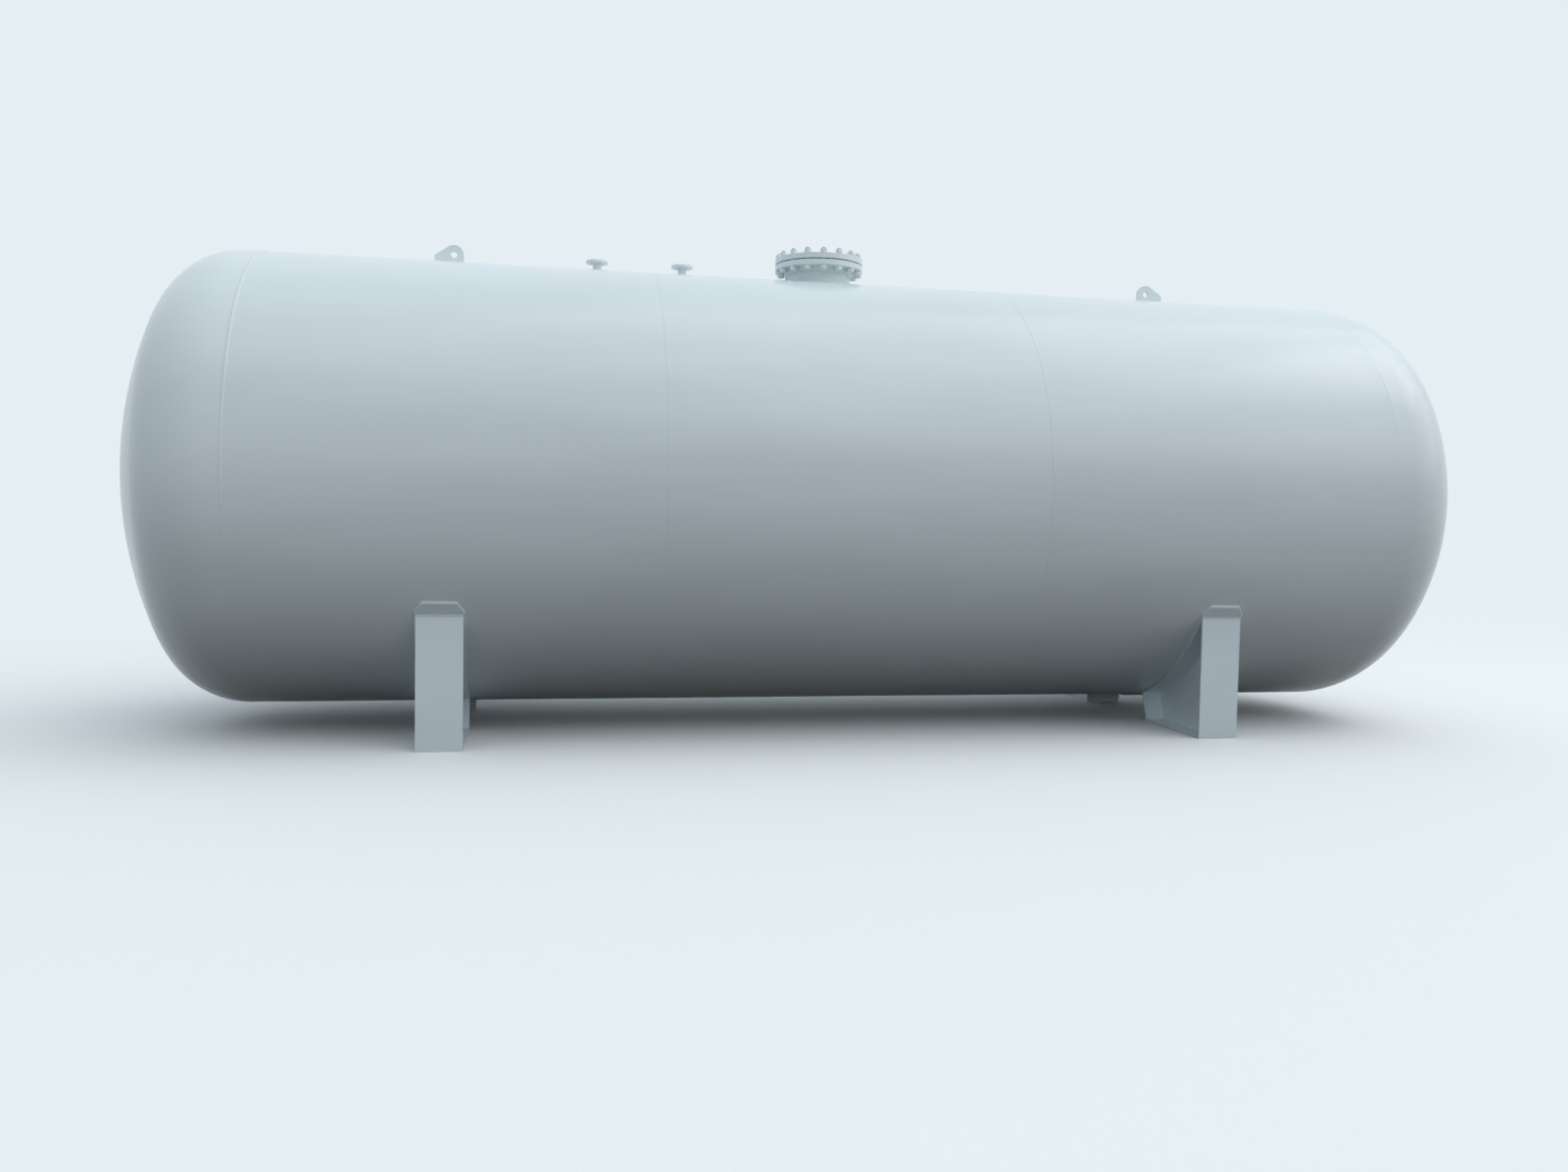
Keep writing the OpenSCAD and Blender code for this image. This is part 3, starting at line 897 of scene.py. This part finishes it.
def neck_pipe(place_x, radius, wall, top, count):
    """Outer and inner skin of a pipe from the shell's inside up to its square-cut top."""
    rise, bearing = np.meshgrid(np.linspace(0, 1, neck_rows), full_turn(count), indexing="ij")
    skins = []
    for r in (radius, radius - wall):
        foot = crossing(place_x, r, bearing, shell_radius - shell_wall)
        skins.append(foot + rise[..., None] * ([0, 0, top] - foot * [0, 0, 1]))
    return two_skins(*skins, wrap=True)


def neck_weld(place_x, radius, leg):
    """A fillet round a neck: one axis runs out over the shell, the other up the pipe."""
    bearing = full_turn(max(60, int(2 * math.pi * radius / neck_step)))
    path = crossing(place_x, radius, bearing, shell_radius)
    first = unit(crossing(place_x, radius + 0.01, bearing, shell_radius) - path)
    return carry(path, first, [0.0, 0, 1], fillet_section(leg), fillet_ripple, top_pitch, True)


# %% Build the necks
manway_fillet, nozzle_fillet = 0.013, 0.007
neck_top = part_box("manway_neck")[1].z
pipe = neck_pipe(manway_x, neck_radius, neck_wall, neck_top, 128)
make_piece("manway_pipe", *pipe, "fitting_paint", ["manway_neck"])
make_piece("manway_weld", *neck_weld(manway_x, neck_radius, manway_fillet), "fitting_paint")
for name, x in nozzle_places.items():
    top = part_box(f"nozzle_neck_{name}")[1].z
    pipe = neck_pipe(x, pipe_radius, pipe_wall, top, 64)
    make_piece(f"nozzle_pipe_{name}", *pipe, "fitting_paint", [f"nozzle_neck_{name}"])
    make_piece(f"nozzle_weld_{name}", *neck_weld(x, pipe_radius, nozzle_fillet), "fitting_paint")


# %% [markdown]
# ## Flanges, gasket and cover
#
# These are turned discs. Each is a polar grid whose upper and under heights depend on the radius alone,
# read from a short list of corners, so a raised face, a hub and broken edges are only a few numbers.
# The bolt holes are drawn into the grid as before, with the way round the bolt circle as the second
# parameter.

# %% Turned discs
disc_step, plain_rows, plain_columns = 0.02, 12, 193


def turned_disc(place_x, upper, under, holes=None):
    """A disc from the (radius, height) corners of its upper and under side.

    holes is (circle radius, count, hole radius, first bearing).
    """
    upper, under = np.array(upper, float), np.array(under, float)
    low, high = upper[0, 0], upper[-1, 0]
    if holes is None:
        radii, gone = np.linspace(low, high, plain_rows), None
    else:
        circle, count, hole, first = holes
        radii = grid_lines(low, high, disc_step, [(circle, hole, 0.0)])
    radii = np.unique(np.round(np.concatenate([radii, upper[:, 0], under[:, 0]]), 6))
    if holes is None:
        r, bearing = np.meshgrid(radii, np.linspace(0, 2 * math.pi, plain_columns), indexing="ij")
    else:
        arc = circle * 2 * math.pi
        start = circle * first - arc / count / 2
        ways = circle * (first + np.arange(count) * 2 * math.pi / count)
        lines = grid_lines(start, start + arc, disc_step, [(way, hole, 0.0) for way in ways])
        r, way = np.meshgrid(radii, lines, indexing="ij")
        r, way, gone = draw_holes(r, way, [(circle, place, hole, 0.0) for place in ways])
        bearing = way / circle
    r, bearing = r[:, :-1], bearing[:, :-1]
    skins = []
    for side in (upper, under):
        height = np.interp(r, side[:, 0], side[:, 1])
        skins.append(np.stack([place_x + r * np.sin(bearing), -r * np.cos(bearing), height], -1))
    return two_skins(*skins, wrap=True, gone=gone)


def rim(radius, height, edge):
    """Last corners of a side that ends in a broken edge: down over it, or up where the edge is negative."""
    return [(radius - abs(edge), height), (radius, height - edge)]


def faced(bore, face, radius, height, step, edge):
    """Corners of a side with a raised face at a height, then a step back, then the rim."""
    raised = [(bore, height), (face - face_edge, height), (face, height - step)]
    return raised + rim(radius, height - step, edge)


# %% Sizes of the manway's discs
flange_low, flange_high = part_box("manway_flange")
gasket_low, gasket_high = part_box("manway_gasket")
cover_low, cover_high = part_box("manway_cover")
disc_radius = round((cover_high.x - cover_low.x) / 2, 3)
face_radius = round((gasket_high.x - gasket_low.x) / 2, 4)
gasket_bore, hub_radius = 0.2425, 0.2535
face_step, face_edge, disc_edge = 0.0016, 0.0004, 0.0015
flange_top, cover_foot = flange_high.z - face_step, cover_low.z + face_step
flange_foot = flange_top - (cover_high.z - cover_foot)
bolt_circle, bolt_count, bolt_hole, first_bolt = 0.289, 16, 0.016, math.radians(-6)
bolts = (bolt_circle, bolt_count, bolt_hole, first_bolt)
print("manway discs:", disc_radius, "radius, plates", round(flange_top - flange_foot, 4), "thick")

# %% The manway's flange, gasket and cover
neck_bore = neck_radius + fit_gap
hub = [
    (neck_bore, flange_low.z), (hub_radius - 0.0045, flange_low.z),
    (hub_radius - 0.001, flange_low.z + 0.003), (hub_radius, flange_foot - 0.006),
    (hub_radius + 0.0025, flange_foot - 0.0015), (hub_radius + 0.0075, flange_foot)]
ring = turned_disc(
    manway_x,
    faced(neck_bore, face_radius, disc_radius, flange_high.z, face_step, disc_edge),
    [*hub, *rim(disc_radius, flange_foot, -disc_edge)],
    bolts)
make_piece("manway_ring", *ring, "fitting_paint", ["manway_flange"])
ring = turned_disc(manway_x, *([(gasket_bore, z), (face_radius, z)] for z in (gasket_high.z, gasket_low.z)))
make_piece("manway_gasket_ring", *ring, "gasket", ["manway_gasket"])
lid = turned_disc(
    manway_x,
    [(0.0, cover_high.z), *rim(disc_radius, cover_high.z, disc_edge)],
    faced(0.0, face_radius, disc_radius, cover_low.z, -face_step, -disc_edge),
    bolts)
make_piece("manway_lid", *lid, "fitting_paint", ["manway_cover"])

# %% The nozzles' flanges
nozzle_radius, nozzle_face, nozzle_hub, nozzle_plate, nozzle_edge = 0.0762, 0.0460, 0.0394, 0.0175, 0.001
nozzle_bolts = (0.06035, 4, 0.0095, math.radians(45))
pipe_bore = pipe_radius + fit_gap
for name, x in nozzle_places.items():
    low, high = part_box(f"nozzle_flange_{name}")
    foot = high.z - face_step - nozzle_plate
    ring = turned_disc(
        x,
        faced(pipe_bore, nozzle_face, nozzle_radius, high.z, face_step, nozzle_edge),
        [(pipe_bore, low.z), (nozzle_hub - 0.0014, low.z), (nozzle_hub - 0.0004, low.z + 0.001),
         (nozzle_hub, foot - 0.0015), (nozzle_hub + 0.0016, foot), *rim(nozzle_radius, foot, -nozzle_edge)],
        nozzle_bolts)
    make_piece(f"nozzle_ring_{name}", *ring, "fitting_paint", [f"nozzle_flange_{name}"])


# %% [markdown]
# ## Studs and nuts
#
# Sixteen threaded studs clamp the cover, each with a heavy hexagon nut above and below, all painted over.
# The thread is a helix: the radius at a height and a bearing falls and rises once for each pitch of
# height, shifted by the bearing. A nut's flats come from dividing the apothem by the cosine of the angle
# to the nearest flat, and the chamfer from never letting the radius pass a cone at either end.

# %% Studs
stud_radius, thread_pitch, thread_shown = 0.015, 0.0035, 0.014
nut_flat, nut_height = 0.046, 0.028
spare_below, spare_above = 0.003, 0.012
stud_low, stud_high = flange_foot - nut_height - spare_below, cover_high.z + nut_height + spare_above


def around_circle(points, faces):
    """Copies of one bolt's mesh, drawn about the Z axis, at each place on the bolt circle, each turned a
    little differently."""
    parts = []
    for bolt in range(bolt_count):
        bearing = first_bolt + bolt * 2 * math.pi / bolt_count
        twist = 0.9 * math.sin(5.1 * bolt + 1)
        cosine, sine = math.cos(twist), math.sin(twist)
        turned = points @ np.array([[cosine, sine, 0], [-sine, cosine, 0], [0, 0, 1]])
        place = [manway_x + bolt_circle * math.sin(bearing), -bolt_circle * math.cos(bearing), 0]
        parts.append((turned + place, faces))
    return gather(parts)


def stud():
    """Radius by height and bearing: a thread of one pitch where the stud shows, and a cone at both ends."""
    end = np.arange(0, thread_shown, thread_pitch / 6)
    heights = np.concatenate([stud_low + end, stud_high - end[::-1]])
    height, bearing = np.meshgrid(heights, full_turn(24), indexing="ij")
    thread = 0.0010 * (1 - np.cos(2 * math.pi * height / thread_pitch - bearing))
    cone = stud_radius - 0.0025 + np.minimum(height - stud_low, stud_high - height)
    radius = np.minimum(stud_radius - thread, cone)
    side = np.stack([radius * np.cos(bearing), radius * np.sin(bearing), height], -1)
    side = np.concatenate([side[:1] * [0, 0, 1], side, side[-1:] * [0, 0, 1]])
    return side.reshape(-1, 3), quads(*side.shape[:2], wrap_v=True)


make_piece("manway_studs", *around_circle(*stud()), "fitting_paint")


# %% Nuts
def nut(foot):
    """A hexagon with chamfered ends and a bore: one closed profile carried round, its radius cut to flats."""
    steps = np.array([0, 0, 0.0006, 0.0013, 0.0022, 0.0034])
    heights = np.concatenate([steps, nut_height - steps[::-1]])
    height, bearing = np.meshgrid(heights, full_turn(36), indexing="ij")
    flats = nut_flat / 2 / np.cos((bearing + math.pi / 6) % (math.pi / 3) - math.pi / 6)
    cone = nut_flat / 2 * 0.97 + 1.7 * np.minimum(height, nut_height - height)
    radius = np.minimum(flats, cone)
    radius[[0, -1]] = stud_radius - 0.002
    ring = np.stack([radius * np.cos(bearing), radius * np.sin(bearing), foot + height], -1)
    return ring.reshape(-1, 3), quads(*ring.shape[:2], wrap_u=True, wrap_v=True)


make_piece("manway_nuts_upper", *around_circle(*nut(cover_high.z)), "fitting_paint")
make_piece("manway_nuts_lower", *around_circle(*nut(flange_foot - nut_height)), "fitting_paint")


# %% [markdown]
# ## Small fillets on the top
#
# The lugs are welded round their feet, and each slip-on flange is welded to its pipe under the hub. Both
# use the same carried triangle as the legs.

# %% Lug and hub fillets
lug_foot_fillet, manway_hub_fillet, nozzle_hub_fillet = 0.008, 0.009, 0.005
lug_ripple, lug_steps, hub_ripple, hub_step = 0.06, 419, 0.08, 0.005


def lug_fillet(side):
    """A closed walk round a lug's foot, whose direction outwards is smoothed at the four corners."""
    middle, half_long, half_thick = side * (lug_x + (tail - nose) / 2), (tail + nose) / 2, lug_thickness / 2
    turn = full_turn(lug_steps)
    cosine, sine = np.cos(turn), np.sin(turn)
    stretch = 1 / np.maximum(np.abs(cosine) / half_long, np.abs(sine) / half_thick)
    x, y = middle + cosine * stretch, sine * stretch
    path = np.stack([x, y, axis_height + np.sqrt(shell_radius ** 2 - y ** 2)], 1)
    at_end = np.abs(cosine) * half_thick > np.abs(sine) * half_long
    out = np.stack([np.where(at_end, np.sign(cosine), 0), np.where(at_end, 0, np.sign(sine)), 0 * turn], 1)
    smooth = unit(sum(np.roll(out, shift, axis=0) for shift in (-2, -1, 0, 1, 2)))
    section = fillet_section(lug_foot_fillet)
    return carry(path, smooth, [0.0, 0, 1], section, lug_ripple, top_pitch, True)


def hub_fillet(place_x, radius, height, leg):
    """A ring under a hub: one axis runs out under it, the other down the pipe."""
    bearing = full_turn(max(48, int(2 * math.pi * radius / hub_step)))
    out = np.stack([np.cos(bearing), np.sin(bearing), 0 * bearing], 1)
    path = [place_x, 0, height] + radius * out
    return carry(path, out, [0.0, 0, -1], fillet_section(leg), hub_ripple, top_pitch, True)


for name, side in sides.items():
    make_piece(f"lug_weld_{name}", *lug_fillet(side), "fitting_paint")
bead = hub_fillet(manway_x, neck_radius, flange_low.z, manway_hub_fillet)
make_piece("hub_weld_manway", *bead, "fitting_paint")
for name, x in nozzle_places.items():
    bead = hub_fillet(x, pipe_radius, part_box(f"nozzle_flange_{name}")[0].z, nozzle_hub_fillet)
    make_piece(f"hub_weld_nozzle_{name}", *bead, "fitting_paint")


# %% [markdown]
# ## Floor, background and light
#
# The picture is a plain catalogue one: a pale floor that runs to the horizon, a pale background and soft
# light. The floor and the background look pale to the camera and in reflections only. To the light that
# bounces they are darker, so the tank's belly falls into shade as it does in the open. The key light is
# large and stands high on the right, so the seams show a dark side and a light side. A soft box over the
# right head gives its shoulder the broad highlight that such a curve has.

# %% Floor
def pale_for_camera(add, join, pale, true):
    """Pale for camera, glossy and transmission rays, and the true colour for light that bounces."""
    path = add("ShaderNodeLightPath")
    seen = add("ShaderNodeMath", operation="ADD", use_clamp=True)
    both = add("ShaderNodeMath", operation="ADD", use_clamp=True)
    join(path.outputs["Is Camera Ray"], seen.inputs[0])
    join(path.outputs["Is Glossy Ray"], seen.inputs[1])
    join(seen.outputs["Value"], both.inputs[0])
    join(path.outputs["Is Transmission Ray"], both.inputs[1])
    mix = add("ShaderNodeMix", data_type="RGBA")
    mix.inputs["A"].default_value = true
    mix.inputs["B"].default_value = pale
    join(both.outputs["Value"], mix.inputs["Factor"])
    return mix.outputs["Result"]


horizon = 300
floor_mesh = bpy.data.meshes.new("floor")
floor_corners = [(x * horizon, y * horizon, 0) for x, y in ((-1, -1), (1, -1), (1, 1), (-1, 1))]
floor_mesh.from_pydata(floor_corners, [], [(0, 1, 2, 3)])
floor = in_scene("floor", floor_mesh)
floor_paint, floor_shader, add, join = shader("pale floor")
floor_colour = pale_for_camera(add, join, (0.96, 0.965, 0.965, 1), (0.036, 0.030, 0.024, 1))
join(floor_colour, floor_shader.inputs["Base Color"])
floor_shader.inputs["Roughness"].default_value = 0.9
floor_shader.inputs["Specular IOR Level"].default_value = 0.1
floor_mesh.materials.append(floor_paint)
floor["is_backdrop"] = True
print("floor out to", horizon, "m")

# %% Background
world = bpy.data.worlds.new("studio")
bpy.context.scene.world = world
world.use_nodes = True
add, join = node_tools(world.node_tree)
sky_colour = pale_for_camera(add, join, (0.785, 0.859, 0.9, 1), (0.58, 0.66, 0.71, 1))
join(sky_colour, world.node_tree.nodes["Background"].inputs["Color"])
print("background:", world.name)


# %% Lamps
def hang_lamp(name, kind, strength, colour, shines, place=(0, 0, 0)):
    """A lamp at a place that shines along a direction."""
    lamp = bpy.data.lights.new(name, kind)
    lamp.energy, lamp.color = strength, colour
    piece = in_scene(name, lamp)
    piece.location = place
    piece.rotation_euler = Vector(shines).to_track_quat("-Z", "Y").to_euler()
    return lamp


# A sun lights the floor evenly to the horizon, and the width of its disc is what softens it
key = hang_lamp("key", "SUN", 0.95, (1.0, 0.99, 0.965), (-0.55, 0.30, -0.78))
key.angle = math.radians(85)
box_place, right_shoulder = Vector((8.5, -2.0, 8.0)), Vector((3.8, -0.3, 2.6))
box_colour = (1.0, 0.99, 0.97)
soft_box = hang_lamp("right shoulder", "AREA", 60, box_colour, right_shoulder - box_place, box_place)
soft_box.shape, soft_box.size = "SQUARE", 4.0


# %% [markdown]
# ## Camera
#
# The view is the photographer's: 1.4 m above the ground, nine metres off, a little left of the middle
# and turned to the right. Its place and angles were solved from the tank's outline, seams and legs in
# the photograph.

# %% Place the camera
camera_place = (-2.013, -9.013, 1.4216)
yaw, pitch, roll = 0.1969, -0.0507, 0.0183
ahead = np.array([math.sin(yaw) * math.cos(pitch), math.cos(yaw) * math.cos(pitch), math.sin(pitch)])
level = np.array([math.cos(yaw), -math.sin(yaw), 0.0])
above = np.cross(level, ahead)
right = math.cos(roll) * level + math.sin(roll) * above
up = -math.sin(roll) * level + math.cos(roll) * above
lens = bpy.data.cameras.new("camera")
lens.sensor_width, lens.lens = 36.0, 28.72
lens.clip_start, lens.clip_end = 0.1, 2000
camera = in_scene("camera", lens)
turned = Matrix((right, up, -ahead)).transposed().to_4x4()
camera.matrix_world = Matrix.Translation(camera_place) @ turned
bpy.context.scene.camera = camera
bpy.context.scene.view_settings.view_transform = "Standard"
print("camera at", camera_place)


# %% Sizes and finish
low_at_end, high_at_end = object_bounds()
grown_high, grown_low = high_at_end - high_at_load, low_at_load - low_at_end
print("grown by", [round(v, 4) for v in grown_high], [round(v, 4) for v in grown_low])
